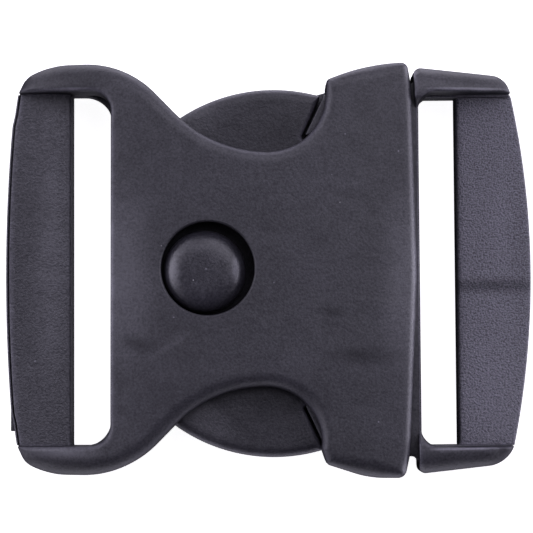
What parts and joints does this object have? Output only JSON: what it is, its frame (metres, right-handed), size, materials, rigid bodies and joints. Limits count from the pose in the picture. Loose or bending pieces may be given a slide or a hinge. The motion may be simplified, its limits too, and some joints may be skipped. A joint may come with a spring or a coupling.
{
  "type": "side release buckle",
  "caption": "Fastened side release buckle for wide belt webbing, with squeeze wings in finger notches and a round centre lock button.",
  "frame": {"origin": "on the surface the buckle lies on, under the middle of its bounding box", "axes": "+X from the socket's strap end to the plug's strap end, +Y along the webbing's width, +Z out of the front face"},
  "size_m": [0.0794, 0.0624, 0.0146],
  "materials": {
    "socket_plastic": "charcoal moulded plastic, satin face with a fine spark-eroded grain on the strap bar",
    "plug_plastic": "charcoal moulded plastic, coarse spark-eroded grain on the strap bar and fine grain on the wings"
  },
  "bodies": {
    "root": {"socket": "socket_plastic", "plug": "plug_plastic"}
  },
  "joints": []
}
